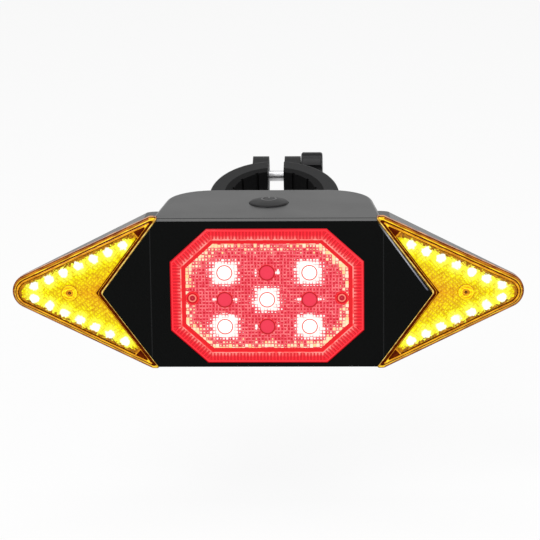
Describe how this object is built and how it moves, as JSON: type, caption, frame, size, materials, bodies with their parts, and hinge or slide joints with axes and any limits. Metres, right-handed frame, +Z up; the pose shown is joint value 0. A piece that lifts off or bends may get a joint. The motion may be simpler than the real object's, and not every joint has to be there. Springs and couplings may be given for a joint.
{
  "type": "bicycle turn signal light",
  "caption": "Rear bicycle light with a red octagonal brake lens between two amber arrow turn lenses, top power button and a tilting quick-release seat post clamp.",
  "frame": {"origin": "middle of the seat post clamp's bore", "axes": "+X to the lamp's own right as seen from behind it on the road, +Y towards the seat post from the lamp, +Z up with the lamp's face upright"},
  "size_m": [0.1766, 0.1246, 0.0543],
  "materials": {
    "black_housing": "satin moulded ABS",
    "red_lens": "clear red moulded lens with prisms inside",
    "amber_lens": "clear amber moulded lens with prisms inside",
    "gasket_rubber": "soft black seal",
    "white_tray": "white reflector tray",
    "board_green": "solder mask",
    "led_clear": "clear epoxy light",
    "module_blue": "radio board with a metal can",
    "cell_wrap": "heat-shrink wrap",
    "cradle_black": "moulded holder",
    "wire_red": "PVC insulation",
    "switch_black": "switch housing",
    "plated_steel": "zinc plated",
    "button_rubber": "soft-touch rubber",
    "bracket_black": "glass-filled nylon",
    "pad_rubber": "ribbed rubber liner",
    "knob_black": "moulded knob"
  },
  "bodies": {
    "clamp": {"clamp_ring": "bracket_black", "clamp_pad": "pad_rubber", "clamp_nut": "plated_steel"},
    "knob": {"clamp_knob": "knob_black", "clamp_screw": "plated_steel"},
    "bracket": {"bracket_shoe": "bracket_black", "tilt_bolt": "plated_steel", "tilt_nut": "plated_steel", "tilt_washers": "plated_steel"},
    "button": {"power_button": "button_rubber", "switch_plunger": "switch_black"},
    "cover": {"port_cover": "gasket_rubber"},
    "lamp": {"rear_housing": "black_housing", "front_bezel": "black_housing", "bezel_gasket": "gasket_rubber", "stop_lens": "red_lens", "stop_lens_gasket": "gasket_rubber", "stop_reflector": "white_tray", "stop_leds": "led_clear", "stop_lens_screws": "plated_steel", "main_board": "board_green", "board_screws": "plated_steel", "radio_module": "module_blue", "arrow_lens_screws": "plated_steel", "case_screws": "plated_steel", "battery": "cell_wrap", "battery_cradle": "cradle_black", "battery_leads": "wire_red", "charge_board": "board_green", "charge_socket": "plated_steel", "switch_body": "switch_black", "switch_board": "board_green", "slide_rail": "bracket_black", "rail_screws": "plated_steel", "left_arrow_lens": "amber_lens", "left_lens_gasket": "gasket_rubber", "left_reflector": "white_tray", "left_board": "board_green", "left_leds": "led_clear", "left_wing_lead": "wire_red", "right_arrow_lens": "amber_lens", "right_lens_gasket": "gasket_rubber", "right_reflector": "white_tray", "right_board": "board_green", "right_leds": "led_clear", "right_wing_lead": "wire_red"}
  },
  "joints": [
    {"name": "bracket_tilt", "type": "hinge", "parent": "clamp", "child": "bracket", "pos_m": [0, -0.03012, -0.00921], "axis": [1, 0, 0], "range_deg": [-20, 25]},
    {"name": "lamp_slide", "type": "slide", "parent": "bracket", "child": "lamp", "axis": [0, 0, 1], "range_m": [0, 0.035]},
    {"name": "power_press", "type": "slide", "parent": "lamp", "child": "button", "axis": [0, 0, -1], "range_m": [0, 0.0005], "stiffness_N_per_m": 1500},
    {"name": "cover_swing", "type": "hinge", "parent": "lamp", "child": "cover", "pos_m": [0, -0.05787, -0.03101], "axis": [-1, 0, 0], "range_deg": [0, 100]},
    {"name": "knob_turn", "type": "hinge", "parent": "clamp", "child": "knob", "pos_m": [0, 0.02965, 0.00906], "axis": [1, 0, 0], "continuous": true}
  ]
}
